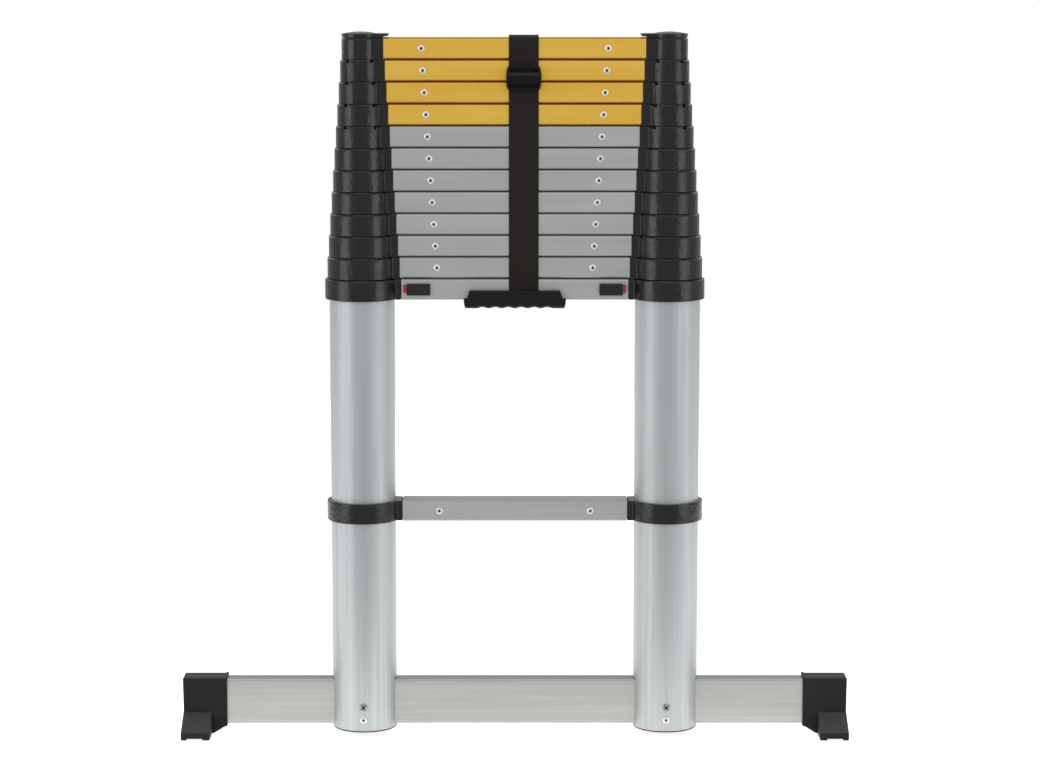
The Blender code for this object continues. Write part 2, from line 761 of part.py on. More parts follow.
base = body("base", (0, 0, 0))
bolt_holes = bolt_cutters(base)
pin_holes, stem_slots = lock_cutters(base)
stabiliser_bar(base)
base_rung(base)
rung("mid_rung", FIXED_RUNG_END, MID_RUNG_Z, "silver_rung", base)
carry_handle(base)
strap_lower(base)
for side in SIDES:
    base_tube(side, base)
    base_collar(side, base)
    mid_collar(side, base)
    foot_boot(side, base)
    tube_end_plug(side, base)
    bar_bolt(side, base)
    lock_spring(side, base)
    lock = body(f"lock_{side}", (across(side, BUTTON_T), 0, BASE_RUNG_Z))
    lock_pin(side, lock)
    release_button(side, lock)

for section in range(1, SECTIONS + 1):
    carrier = body(f"section_{section}", (0, 0, rung_z(section)))
    sliding_section(section, carrier)
strap_upper(carrier)
strap_buckle(carrier)
for side in SIDES:
    top_cap(side, carrier)
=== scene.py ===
"""The looks of a telescoping ladder, closed for storage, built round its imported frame.

Metres, +Z up. The climber stands at -Y and the left stile is at -X. Section 0 is the fixed base,
section 1 the lowest sliding one, and the last section the top one. On a stile, u runs from the
tube's axis inwards, to the middle of the ladder, and v runs to the back.
"""

import json
import math

import bmesh
import bpy
from mathutils import Matrix, Vector

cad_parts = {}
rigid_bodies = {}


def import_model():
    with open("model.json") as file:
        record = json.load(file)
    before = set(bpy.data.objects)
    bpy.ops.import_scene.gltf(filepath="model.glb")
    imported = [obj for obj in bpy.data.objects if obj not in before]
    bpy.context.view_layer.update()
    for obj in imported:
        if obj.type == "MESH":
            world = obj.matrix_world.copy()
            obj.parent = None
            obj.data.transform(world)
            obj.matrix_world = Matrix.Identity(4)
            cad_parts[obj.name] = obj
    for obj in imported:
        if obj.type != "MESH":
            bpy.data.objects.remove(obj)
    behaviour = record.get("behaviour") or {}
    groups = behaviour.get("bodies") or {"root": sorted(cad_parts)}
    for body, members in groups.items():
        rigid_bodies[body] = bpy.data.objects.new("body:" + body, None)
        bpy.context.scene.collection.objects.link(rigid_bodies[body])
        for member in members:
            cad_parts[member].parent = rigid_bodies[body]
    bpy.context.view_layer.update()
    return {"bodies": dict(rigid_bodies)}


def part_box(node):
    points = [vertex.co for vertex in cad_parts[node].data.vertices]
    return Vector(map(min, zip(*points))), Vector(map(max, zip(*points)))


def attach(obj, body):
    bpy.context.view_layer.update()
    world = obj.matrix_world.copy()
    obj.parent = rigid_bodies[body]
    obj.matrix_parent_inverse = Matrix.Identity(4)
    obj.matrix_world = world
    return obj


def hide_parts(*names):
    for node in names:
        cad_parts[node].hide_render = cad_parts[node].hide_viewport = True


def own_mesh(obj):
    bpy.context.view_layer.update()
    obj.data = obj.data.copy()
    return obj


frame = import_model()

SIDES = {"left": -1, "right": 1}
SECTIONS = sum(name.startswith("section_") for name in frame["bodies"])
GOLD_SECTIONS = 4
FINE = 96  # points round a tube
SMALL = 32  # points round a rivet or a screw

# Stiles
GAP = 0.0003
TUBE_WALL = 0.0014
TUBE_STEP = 0.00205  # how much smaller in radius each tube is than the one round it
COLLAR_WALL = 0.0044
COLLAR_LIP = 0.001
FIXED_COLLAR_RADIUS = 0.0476
BORE_PLAY = 0.00005
NECK_HALF_DEPTH = 0.0185
NECK_FILLET = 0.0025
COLLAR_EDGE = 0.0012
COLLAR_CHAMFER = ((0, 0.0019), (0.0007, 0.0005), (0.0012, 0))  # inset, and distance under its top
COLLAR_CREASE = 20

# Rungs and bar
SLOT_PLAY = 0.0018  # above the bar
BAR_CORNER = 0.003
RUNG_WALL = 0.002
RUNG_CORNER = 0.0028
RUNG_CREASE = 30
STEM_PLAY = 0.0005  # beside the stem of a release button
TREAD_HALF_DEPTH = 0.015
TREAD_GROOVES = 10
TREAD_GROOVE_DEPTH = 0.0005
TONGUE_LENGTH = 0.060
TONGUE_WALL = 0.0025
RIVET_INSET = 0.048  # from the end of a rung
RIVET_RADIUS = 0.0045
FOOT_RIVET_Z = 0.025

# Caps, strap and handle
CAP_STEP = 0.0021
CAP_LID = 0.0032
STRAP_THICKNESS = 0.0016
STRAP_CORNER = 0.005
STRAP_CREST = 0.0015  # how far the strap rises between its corners over the top rung
GROOVES = 6
GROOVE_PITCH = 0.017
GROOVE_DEPTH = 0.0016


# Camera, light and floor


def aim(obj, target):
    obj.rotation_euler = (Vector(target) - obj.location).to_track_quat("-Z", "Y").to_euler()


def make_camera():
    """A long lens in front of the ladder, a little above its top, looking down at its middle."""
    camera = bpy.data.objects.new("camera", bpy.data.cameras.new("camera"))
    camera.data.lens = 101.8
    camera.data.sensor_width = 36
    tilt = 8.21
    camera.location = (0.0067, -3.78, 1.0)
    camera.rotation_euler = (math.radians(90 - tilt), 0, 0)
    bpy.context.scene.collection.objects.link(camera)
    bpy.context.scene.camera = camera


def softbox(name, azimuth, distance, height, size, power):
    """A rectangular light aimed at the middle of the ladder. Azimuth 0 is the climber's side."""
    light = bpy.data.lights.new(name, "AREA")
    light.shape = "RECTANGLE"
    light.size, light.size_y = size
    light.energy = power
    lamp = bpy.data.objects.new(name, light)
    turn = math.radians(azimuth)
    lamp.location = (distance * math.sin(turn), -distance * math.cos(turn), height)
    aim(lamp, (0, 0, 0.45))
    lamp.visible_camera = False
    bpy.context.scene.collection.objects.link(lamp)


def make_studio():
    """A white backdrop, a dim room, softboxes at the sides and high above, and a strip light."""
    bpy.context.scene.view_settings.view_transform = "Standard"
    world = bpy.data.worlds.new("studio")
    bpy.context.scene.world = world
    world.use_nodes = True
    tree = world.node_tree
    tree.nodes.clear()
    backdrop = tree.nodes.new("ShaderNodeBackground")
    backdrop.inputs["Color"].default_value = (1, 1, 1, 1)
    room = tree.nodes.new("ShaderNodeBackground")
    room.inputs["Color"].default_value = (0.54, 0.55, 0.555, 1)
    path = tree.nodes.new("ShaderNodeLightPath")
    mix = tree.nodes.new("ShaderNodeMixShader")
    out = tree.nodes.new("ShaderNodeOutputWorld")
    tree.links.new(path.outputs["Is Camera Ray"], mix.inputs[0])
    tree.links.new(room.outputs[0], mix.inputs[1])
    tree.links.new(backdrop.outputs[0], mix.inputs[2])
    tree.links.new(mix.outputs[0], out.inputs["Surface"])
    softbox("softbox_left", -60, 2.6, 0.9, (1.4, 2.4), 20)
    softbox("softbox_right", 58, 2.6, 0.9, (1.4, 2.4), 17)
    softbox("softbox_back_left", -135, 3.0, 1.6, (1.6, 1.6), 8)
    softbox("softbox_back_right", 135, 3.0, 1.6, (1.6, 1.6), 8)
    softbox("softbox_top", 0, 0.1, 5.0, (3.6, 3.6), 44)
    softbox("strip_light", 0, 2.3, 2.4, (1.8, 0.35), 7)


def make_floor():
    """A white sweep that ends a little in front of the ladder."""
    mesh = bpy.data.meshes.new("floor")
    corners = [(-2, -0.3), (2, -0.3), (2, 3), (-2, 3)]
    mesh.from_pydata([(x, y, -0.0006) for x, y in corners], [], [(0, 1, 2, 3)])
    floor = bpy.data.objects.new("floor", mesh)
    look = bpy.data.materials.new("floor")
    look.use_nodes = True
    shader = look.node_tree.nodes["Principled BSDF"]
    shader.inputs["Base Color"].default_value = (0.9, 0.9, 0.9, 1)
    shader.inputs["Roughness"].default_value = 0.9
    shader.inputs["Specular IOR Level"].default_value = 0.1
    shader.inputs["Emission Color"].default_value = (1, 0.97, 0.92, 1)
    shader.inputs["Emission Strength"].default_value = 0.85
    mesh.materials.append(look)
    bpy.context.scene.collection.objects.link(floor)


# Materials


def linear(channel):
    value = channel / 255
    return value / 12.92 if value <= 0.04045 else ((value + 0.055) / 1.055) ** 2.4


def colour(*channels):
    return (*map(linear, channels), 1)


class Look:
    """A node material, with short ways to the nodes that the ladder's finishes share."""

    def __init__(self, name, metallic=0.0, **sockets):
        self.material = bpy.data.materials.new(name)
        self.material.use_nodes = True
        self.tree = self.material.node_tree
        self.shader = self.tree.nodes["Principled BSDF"]
        self.shader.inputs["Metallic"].default_value = metallic
        for socket, value in sockets.items():
            self.shader.inputs[socket.replace("_", " ")].default_value = value
        self.place = self.add("ShaderNodeTexCoord").outputs["Object"]

    def add(self, kind, **settings):
        made = self.tree.nodes.new(kind)
        for name, value in settings.items():
            setattr(made, name, value)
        return made

    def link(self, output, socket):
        self.tree.links.new(output, socket)

    def noise(self, scale, detail=3.0, roughness=0.55):
        """Noise with this many spots a metre along each axis, from 0 to 1."""
        stretch = self.add("ShaderNodeMapping")
        stretch.inputs["Scale"].default_value = scale
        self.link(self.place, stretch.inputs["Vector"])
        noise = self.add("ShaderNodeTexNoise")
        noise.inputs["Scale"].default_value = 1.0
        noise.inputs["Detail"].default_value = detail
        noise.inputs["Roughness"].default_value = roughness
        self.link(stretch.outputs[0], noise.inputs["Vector"])
        return noise.outputs["Fac"]

    def spread(self, value, low, high, start=0.3, end=0.7):
        """Maps a value's range from start to end onto low to high."""
        spread = self.add("ShaderNodeMapRange")
        ends = {"From Min": start, "From Max": end, "To Min": low, "To Max": high}
        for socket, number in ends.items():
            spread.inputs[socket].default_value = number
        self.link(value, spread.inputs["Value"])
        return spread.outputs["Result"]

    def tint(self, share, first, second):
        mix = self.add("ShaderNodeMix", data_type="RGBA")
        self.link(share, mix.inputs["Factor"])
        for socket, shade in ((6, first), (7, second)):
            if isinstance(shade, tuple):
                mix.inputs[socket].default_value = shade
            else:
                self.link(shade, mix.inputs[socket])
        return mix.outputs[2]

    def math(self, operation, first, second=None):
        node = self.add("ShaderNodeMath", operation=operation)
        for i, value in enumerate((first, second)):
            if isinstance(value, (int, float)):
                node.inputs[i].default_value = value
            elif value is not None:
                self.link(value, node.inputs[i])
        return node.outputs[0]

    def steepness(self):
        """How far the surface faces up or down, from 0 on a wall to 1 on a floor."""
        split = self.add("ShaderNodeSeparateXYZ")
        self.link(self.add("ShaderNodeNewGeometry").outputs["Normal"], split.inputs[0])
        return self.math("ABSOLUTE", split.outputs["Z"])

    def paint(self, value):
        self.link(value, self.shader.inputs["Base Color"])

    def rough(self, value):
        self.link(value, self.shader.inputs["Roughness"])

    def bump(self, height, depth):
        bump = self.add("ShaderNodeBump")
        bump.inputs["Strength"].default_value = 1.0
        bump.inputs["Distance"].default_value = depth
        self.link(height, bump.inputs["Height"])
        self.link(bump.outputs[0], self.shader.inputs["Normal"])


def drawn_metal(name, along, first, second, roughness, dark_corners=0.0, dark=colour(0, 0, 0)):
    """Anodised aluminium, drawn along one axis: fine streaks, broad bands, and cloudy patches.

    Round the long corners of a rung the colour is darkened towards the dark colour: painted shade
    for the gaps between rungs.
    """
    look = Look(name, metallic=1.0)
    streaks = look.noise(tuple(7 if axis == along else 1500 for axis in "xyz"), detail=2.0)
    bands = look.noise(tuple(2 if axis == along else 170 for axis in "xyz"), detail=3.0)
    patches = look.noise(tuple(3 if axis == along else 36 for axis in "xyz"), detail=3.0)
    worn = look.tint(look.spread(patches, 0, 1), first, second)
    marks_and_corner_shade = look.math("ADD", look.spread(streaks, 0.0, 0.05), look.spread(bands, 0.0, 0.09))
    # Painted shade: the sloping faces of a rung's rounded long corners are darkened, standing for
    # the shade in the gaps between rungs.
    if dark_corners:
        slope = look.steepness()
        off_wall = look.spread(slope, 0, 1, 0.2, 0.5)
        off_floor = look.spread(slope, 1, 0, 0.85, 0.97)
        corner = look.math("MULTIPLY", off_wall, off_floor)
        marks_and_corner_shade = look.math("ADD", marks_and_corner_shade, look.math("MULTIPLY", corner, dark_corners))
    look.paint(look.tint(marks_and_corner_shade, worn, dark))
    polish = look.spread(bands, roughness - 0.05, roughness + 0.05)
    look.rough(look.math("ADD", look.spread(streaks, -0.03, 0.03), polish))
    look.bump(streaks, 0.00002)
    return look.material


def moulded(name, first, second, roughness, grain, depth, ripple=0.0, sheen=0.5, dust=None):
    """A moulded plastic or rubber: fine grain over a slow ripple, and painted top light that makes
    it paler where it faces up.
    """
    look = Look(name, Specular_IOR_Level=sheen)
    patches = look.noise((22, 22, 22), detail=5.0)
    grains = look.noise((grain, grain, grain), detail=2.0)
    ripples = look.noise((140, 140, 140), detail=2.0)
    paint = look.tint(look.spread(patches, 0, 1), first, second)
    # Painted light: the colour turns paler where the surface faces up, as if lit from above.
    if dust:
        paint = look.tint(look.spread(look.steepness(), 0, 1, 0.3, 0.7), paint, dust)
    look.paint(paint)
    mottle = look.spread(patches, roughness - 0.05, roughness + 0.05)
    look.rough(look.math("ADD", mottle, look.spread(grains, -0.03, 0.03)))
    fine, slow = look.math("MULTIPLY", grains, depth), look.math("MULTIPLY", ripples, ripple)
    look.bump(look.math("ADD", fine, slow), 1.0)
    return look.material


def woven():
    """Polyester webbing: staggered ribs across the strap, with painted light on the threads'
    crowns and painted shade between them.
    """
    look = Look("webbing", Sheen_Weight=0.05, Sheen_Roughness=0.5, Specular_IOR_Level=0.2)
    split = look.add("ShaderNodeSeparateXYZ")
    look.link(look.place, split.inputs[0])
    rib, column = 0.0012, 0.0024
    across = look.math("DIVIDE", split.outputs["X"], column)
    along = look.math("DIVIDE", look.math("ADD", split.outputs["Y"], split.outputs["Z"]), rib)
    stagger = look.math("MULTIPLY", look.math("FLOOR", across), 0.5)

    def wave(turns):
        return look.math("ABSOLUTE", look.math("SINE", look.math("MULTIPLY", turns, math.pi)))

    rows, columns = wave(look.math("ADD", along, stagger)), wave(across)
    crown = look.math("MULTIPLY", rows, look.math("POWER", columns, 0.5))
    fuzz = look.noise((2500, 2500, 2500), detail=2.0)
    thread = look.math("ADD", crown, look.spread(fuzz, -0.15, 0.15))
    # Painted light and shade: the colour follows the weave's height, paler on the crowns and
    # darker between threads, with a little random fuzz.
    painted_crown_light = look.spread(thread, 0, 1, 0.1, 1.0)
    look.paint(look.tint(painted_crown_light, colour(18, 16, 13), colour(44, 38, 35)))
    look.rough(look.spread(thread, 0.95, 0.72, 0.1, 1.0))
    look.bump(thread, 0.00022)
    return look.material


def plated(name, first, second, roughness):
    """Zinc-plated steel, faintly spangled."""
    look = Look(name, metallic=1.0)
    spangle = look.noise((420, 420, 420), detail=3.0)
    look.paint(look.tint(look.spread(spangle, 0, 1), first, second))
    look.rough(look.spread(spangle, roughness, roughness + 0.14))
    look.bump(spangle, 0.00003)
    return look.material


def make_looks():
    tube = colour(188, 193, 195), colour(195, 199, 200)
    silver = colour(192, 194, 190), colour(202, 204, 200)
    bar = colour(176, 177, 174), colour(183, 184, 181)
    gold = colour(250, 200, 84), colour(255, 212, 98)
    # Brown painted shade for the long corners of the gold rungs.
    gold_corner_shade = colour(112, 52, 4)
    collar = colour(5, 5, 5), colour(10, 10, 9)
    slide = colour(4, 4, 4), colour(8, 7, 7)
    grip = colour(9, 8, 7), colour(15, 13, 11)
    # The rubber's pale tone on faces that look up is painted top light.
    rubber, dust = (colour(19, 19, 19), colour(28, 28, 28)), colour(60, 60, 60)
    red = colour(150, 22, 38), colour(170, 30, 44)
    dark = colour(30, 30, 31), colour(48, 47, 46)
    bright = colour(206, 208, 208), colour(236, 236, 234)
    dull = colour(140, 142, 142), colour(172, 172, 170)
    looks = {"webbing": woven()}

    def add(make, name, *settings, **extra):
        looks[name] = make(name, *settings, **extra)

    add(drawn_metal, "anodised_tube", "z", *tube, 0.56)
    # The silver and gold rungs' last numbers set how much painted shade darkens their long
    # corners.
    add(drawn_metal, "silver_rung", "x", *silver, 0.5, 0.3)
    add(drawn_metal, "silver_bar", "x", *bar, 0.45)
    add(drawn_metal, "gold_rung", "x", *gold, 0.48, 0.6, gold_corner_shade)
    add(moulded, "black_plastic", *collar, 0.26, 1500, 0.00003, ripple=0.0006)
    add(moulded, "glossy_plastic", *slide, 0.2, 1500, 0.00002, sheen=0.22)
    add(moulded, "grip_plastic", *grip, 0.45, 1500, 0.00006, sheen=0.25)
    add(moulded, "black_rubber", *rubber, 0.6, 900, 0.00012, sheen=0.2, dust=dust)
    add(moulded, "red_plastic", *red, 0.4, 1200, 0.00005)
    # Dark steel for the rivets' mandrels, and painted shade at the floor of the screws' cross
    # recesses.
    add(moulded, "dark_steel", *dark, 0.5, 800, 0.00008)
    add(plated, "steel", *bright, 0.22)
    add(plated, "bright_steel", *bright, 0.4)
    add(plated, "dull_steel", *dull, 0.36)
    return looks


# Shapes. A shape is (points, faces); an outline is a row of (u, v) points that runs anticlockwise.


def arc(centre, radius, start, end, steps):
    """Points on an arc. Its ends are in degrees."""
    turns = [math.radians(start + (end - start) * i / steps) for i in range(steps + 1)]
    return [(centre[0] + radius * math.cos(t), centre[1] + radius * math.sin(t)) for t in turns]


def circle(radius, steps=FINE):
    return arc((0, 0), radius, 0, 360 * (steps - 1) / steps, steps - 1)


def rounded(corners, radius, steps=4):
    """A convex outline with its corners rounded."""
    points = []
    for i, corner in enumerate(corners):
        here = Vector(corner)
        to_last = (Vector(corners[i - 1]) - here).normalized()
        to_next = (Vector(corners[(i + 1) % len(corners)]) - here).normalized()
        half = to_last.angle(to_next) / 2
        run = radius / math.tan(half)
        centre = here + (to_last + to_next).normalized() * radius / math.sin(half)
        start = here + to_last * run - centre
        end = here + to_next * run - centre
        turn = math.atan2(start.x * end.y - start.y * end.x, start.dot(end))
        first = math.atan2(start.y, start.x)
        points += arc(centre, radius, math.degrees(first), math.degrees(first + turn), steps)
    return points


def rectangle(width, height, corner, middle=(0, 0), steps=4):
    signs = ((1, 1), (-1, 1), (-1, -1), (1, -1))
    corners = [(middle[0] + u * width / 2, middle[1] + v * height / 2) for u, v in signs]
    return rounded(corners, corner, steps)


def inset(outline, distance):
    """The outline moved inwards all round."""
    if not distance:
        return list(outline)
    shifted = []
    for i, here in enumerate(outline):
        last, following = outline[i - 1], outline[(i + 1) % len(outline)]
        first = Vector((last[1] - here[1], here[0] - last[0])).normalized()
        second = Vector((here[1] - following[1], following[0] - here[0])).normalized()
        off = (first + second) / (1 + first.dot(second)) * distance
        shifted.append((here[0] + off.x, here[1] + off.y))
    return shifted


def edge_stack(low, high, bevel, steps=3):
    """(inset, height) pairs up a solid with round edges."""
    turns = [math.pi / 2 * i / steps for i in range(steps + 1)]
    foot = [(bevel * (1 - math.sin(t)), low + bevel * (1 - math.cos(t))) for t in turns]
    return foot + [(off, low + high - height) for off, height in reversed(foot)]


def skin(rings, hollow=False):
    """Faces over a row of equal rings. A hollow skin closes on itself, and any other is capped."""
    count = len(rings[0])
    points = [point for ring in rings for point in ring]
    faces = []
    spans = len(rings) if hollow else len(rings) - 1
    for i in range(spans):
        near, far = i * count, (i + 1) % len(rings) * count
        for j in range(count):
            k = (j + 1) % count
            faces.append((near + j, near + k, far + k, far + j))
    if not hollow:
        faces.append(tuple(range(count)))
        faces.append(tuple(range(spans * count, spans * count + count)))
    return points, faces


def block(outline, low, high, bevel):
    """An outline made solid from low to high, with round edges."""
    stack = edge_stack(low, high, bevel)
    return skin([[(u, v, w) for u, v in inset(outline, off)] for off, w in stack])


def lathe(profile, steps=SMALL, hollow=False):
    """A profile of (radius, height) points, turned about Z."""
    rings = [[(u, v, height) for u, v in circle(radius, steps)] for radius, height in profile]
    return skin(rings, hollow)


def moved(shape, place):
    """The shape with each of its (u, v, w) points put where place says."""
    points, faces = shape
    return [place(*point) for point in points], faces


def along_x(x):
    """u to the back, v up, and w to the right of x."""
    return lambda u, v, w: (x + w, u, v)


def on_stile(side):
    """u inwards from the axis of a stile."""
    return lambda u, v, w: (SIDES[side] * (STILE_X - u), v, w)


def closed_mesh(name, shapes):
    """One mesh of all the shapes, each with its faces pointing out."""
    solid = bmesh.new()
    for points, faces in shapes:
        added = [solid.verts.new(point) for point in points]
        made = [solid.faces.new([added[i] for i in face]) for face in faces]
        bmesh.ops.recalc_face_normals(solid, faces=made)
    mesh = bpy.data.meshes.new(name)
    solid.to_mesh(mesh)
    solid.free()
    return mesh


def shade(obj, crease):
    """Smooths the piece between its creases, with its broad faces kept flat."""
    obj.data.shade_smooth()
    obj.data.set_sharp_from_angle(angle=math.radians(crease))
    obj.modifiers.new("normals", "WEIGHTED_NORMAL").keep_sharp = True
    bake(obj)


def bake(obj):
    """Applies the modifiers of a piece."""
    graph = bpy.context.evaluated_depsgraph_get()
    mesh = bpy.data.meshes.new_from_object(obj.evaluated_get(graph))
    obj.modifiers.clear()
    obj.data = mesh


def piece(name, shapes, finish, body, replaced=(), crease=40):
    """Makes one visible piece that rides on a body."""
    obj = bpy.data.objects.new(name, closed_mesh(name, shapes))
    bpy.context.scene.collection.objects.link(obj)
    obj.data.materials.append(LOOKS[finish])
    shade(obj, crease)
    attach(obj, body)
    if replaced:
        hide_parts(*replaced)
    return obj


def carve(obj, cutters, added=(), crease=40):
    """Joins shapes to a piece, then cuts others out of it."""
    for operation, shapes in (("UNION", added), ("DIFFERENCE", cutters)):
        for shape in shapes:
            tool = bpy.data.objects.new("tool", closed_mesh("tool", [shape]))
            bpy.context.scene.collection.objects.link(tool)
            modifier = obj.modifiers.new("cut", "BOOLEAN")
            modifier.object = tool
            modifier.operation = operation
            bake(obj)
            bpy.data.objects.remove(tool)
    shade(obj, crease)


def cuboid(low, high):
    """A plain cutter between two corners."""
    xs, ys, zs = zip(low, high)
    outline = [(xs[0], ys[0]), (xs[1], ys[0]), (xs[1], ys[1]), (xs[0], ys[1])]
    return skin([[(x, y, z) for x, y in outline] for z in zs])


# The frame's sizes


def middle(node, axis):
    low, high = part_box(node)
    return (low[axis] + high[axis]) / 2


tube_low, tube_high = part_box("base_tube_left")
STILE_X = -(tube_low.x + tube_high.x) / 2
BASE_RADIUS = (tube_high.x - tube_low.x) / 2
BASE_RUNG_Z = middle("base_rung", 2)
MID_RUNG_Z = middle("mid_rung", 2)
STACK_PITCH = middle("rung_2", 2) - middle("rung_1", 2)
rung_low, rung_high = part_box("rung_1")
RUNG_DEPTH = rung_high.y - rung_low.y
RUNG_HEIGHT = rung_high.z - rung_low.z


def body_name(section):
    return f"section_{section}" if section else "base"


def rung_node(section):
    return f"rung_{section}" if section else "base_rung"


def tube_radius(section):
    return BASE_RADIUS - TUBE_STEP * section


def rung_end(node):
    """How far inwards from the stile's axis a rung ends."""
    return STILE_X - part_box(node)[1].x


# Tubes


def tube_shape(side, radius, low, high):
    """A tube with softly broken edges at both ends."""
    bevel = 0.0003
    bore = radius - TUBE_WALL
    profile = [(bore + bevel, low), (radius - bevel, low), (radius, low + bevel)]
    profile += [(radius, high - bevel), (radius - bevel, high), (bore + bevel, high)]
    profile += [(bore, high - bevel), (bore, low + bevel)]
    return moved(lathe(profile, FINE, hollow=True), on_stile(side))


def fixed_tube(side):
    low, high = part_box(f"base_tube_{side}")
    shape = tube_shape(side, BASE_RADIUS, low.z, high.z)
    tube = piece(f"fixed_tube_{side}", [shape], "anodised_tube", "base", [f"base_tube_{side}"])
    bar_low, bar_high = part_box("stabiliser_bar")
    width, height = bar_high.y - bar_low.y + 2 * GAP, bar_high.z - bar_low.z + GAP + SLOT_PLAY
    slot = rectangle(width, height, GAP, (0, (bar_low.z - GAP + bar_high.z + SLOT_PLAY) / 2))
    reach = 2 * BASE_RADIUS
    x = SIDES[side] * STILE_X
    rings = [[(u, v, w) for u, v in slot] for w in (-reach, reach)]
    carve(tube, [moved(skin(rings), along_x(x)), pin_hole(side)])


def sliding_tube(side, section):
    node = f"stile_{side}_{section}"
    low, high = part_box(node)
    shape = tube_shape(side, tube_radius(section), low.z, high.z - COLLAR_LIP)
    piece(f"sliding_tube_{side}_{section}", [shape], "anodised_tube", body_name(section), [node])


# Collars

NOTCHED = range(7, 11)  # sections whose collars have notches and ridges
NOTCH_TURN = 33.0  # degrees from the front
NOTCH_HALF_TURN = 8.2
NOTCH_EDGE = 0.5
NOTCH_HEIGHT = 0.0032
NOTCH_DEPTH = 0.0034
RIDGE_HALF_TURN = 3.6
RIDGE_EDGE = 0.5  # degrees from its foot to its flat top
RIDGE_HEIGHT = 0.0005
FRONT = 270.0
LEDGE = 0.0012  # how far down a neck the ledge at its top starts
LEDGE_HALF_DEPTH = 0.0165


def ring_turns(opening):
    """Angles round the outside of a collar, closer together at its notches and ridges."""
    turns = {opening, 360 - opening}
    steps = 72
    turns.update(opening + (360 - 2 * opening) * i / steps for i in range(steps + 1))
    for centre in (FRONT - NOTCH_TURN, FRONT + NOTCH_TURN):
        for half, edge in ((NOTCH_HALF_TURN, NOTCH_EDGE), (RIDGE_HALF_TURN, RIDGE_EDGE)):
            for off in (half, half - edge):
                turns.update((centre - off, centre + off))
    near = 0.12
    kept = []
    for turn in sorted(turns):
        if opening <= turn <= 360 - opening and (not kept or turn - kept[-1] > near):
            kept.append(turn)
    return kept


def collar_outline(radius, reach, ridges):
    """A ring's outer edge, with a neck towards +u that meets it in a fillet."""
    half, fillet, corner = NECK_HALF_DEPTH, NECK_FILLET, 0.0012
    centre_v = half + fillet
    centre_u = math.sqrt((radius + fillet) ** 2 - centre_v**2)
    opening = math.degrees(math.atan2(centre_v, centre_u))
    points = []
    for turn in ring_turns(opening):
        off = abs(abs(turn - FRONT) - NOTCH_TURN)
        share = min(1, max(0, (RIDGE_HALF_TURN - off) / RIDGE_EDGE))
        proud = RIDGE_HEIGHT * share if ridges else 0
        angle = math.radians(turn)
        points.append(((radius + proud) * math.cos(angle), (radius + proud) * math.sin(angle)))
    points += arc((centre_u, -centre_v), fillet, 180 - opening, 90, 6)[1:]
    points += arc((reach - corner, corner - half), corner, -90, 0, 6)
    points += [(reach, (half - corner) * (i / 5 - 1)) for i in range(1, 10)]
    points += arc((reach - corner, half - corner), corner, 0, 90, 6)
    points += arc((centre_u, centre_v), fillet, -90, opening - 180, 6)[:-1]
    return points


def in_notch(u, v):
    turn = math.degrees(math.atan2(v, u)) % 360
    return abs(abs(turn - FRONT) - NOTCH_TURN) < NOTCH_HALF_TURN - 0.2 and math.hypot(u, v) > 0


def collar_shape(side, radius, reach, low, high, bore, lip, notched):
    """A collar over the end of a tube: its outside, a lip over the tube's edge, and its bore."""
    outline = collar_outline(radius, reach, notched)
    steps = 5
    stack = edge_stack(low, high, COLLAR_EDGE, steps)[: steps + 1]
    if notched:
        sill = high - NOTCH_HEIGHT
        stack += [(0, sill - 0.0001), (0, sill)]
    stack += [(off, high - drop) for off, drop in COLLAR_CHAMFER]
    rings = []
    for off, z in stack:
        ring = []
        for u, v in inset(outline, off):
            if notched and z >= high - NOTCH_HEIGHT and in_notch(u, v):
                shrink = 1 - (NOTCH_DEPTH - off) / radius
                u, v = u * shrink, v * shrink
            ring.append((u, v, z))
        rings.append(ring)
    step = high - COLLAR_LIP
    for inner, z in ((lip, high), (lip, step), (bore, step), (bore, low)):
        size = [inner / math.hypot(u, v) for u, v in outline]
        rings.append([(u * s, v * s, z) for (u, v), s in zip(outline, size)])
    return moved(skin(rings, hollow=True), on_stile(side))


def tongue_shape(side, reach, z):
    """The hollow box that a collar pushes into the end of its rung."""
    depth = RUNG_DEPTH - 2 * RUNG_WALL - 0.0008
    height = RUNG_HEIGHT - 2 * RUNG_WALL - 0.0014
    outer = rectangle(depth, height, 0.0022)
    inner = rectangle(depth - 2 * TONGUE_WALL, height - 2 * TONGUE_WALL, 0.0008)
    start, end = reach - 0.002, reach + TONGUE_LENGTH
    rings = [[(w, u, z + v) for u, v in outline] for outline, w in
             ((outer, start), (outer, end), (inner, end), (inner, start))]
    return moved(skin(rings, hollow=True), on_stile(side))


def sliding_collar(side, section):
    """A collar with its tongue, and a ledge on its neck that closes the gap under the next one."""
    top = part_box(f"stile_{side}_{section}")[1].z
    reach = rung_end(rung_node(section)) - GAP
    radius = tube_radius(section)
    shapes = [
        collar_shape(
            side,
            radius + COLLAR_WALL,
            reach,
            top - STACK_PITCH + GAP,
            top,
            radius + BORE_PLAY,
            radius - TUBE_WALL,
            section in NOTCHED,
        ),
        tongue_shape(side, reach, middle(rung_node(section), 2)),
    ]
    if section < SECTIONS:
        lows = (reach - 0.0015, -LEDGE_HALF_DEPTH, top - LEDGE)
        highs = (reach - 0.0002, LEDGE_HALF_DEPTH, top + 0.0009)
        shapes.append(moved(cuboid(lows, highs), on_stile(side)))
    name = f"collar_{side}_{section}"
    body = body_name(section)
    piece(name, shapes, "black_plastic", body, [f"stile_{side}_{section}"], crease=COLLAR_CREASE)


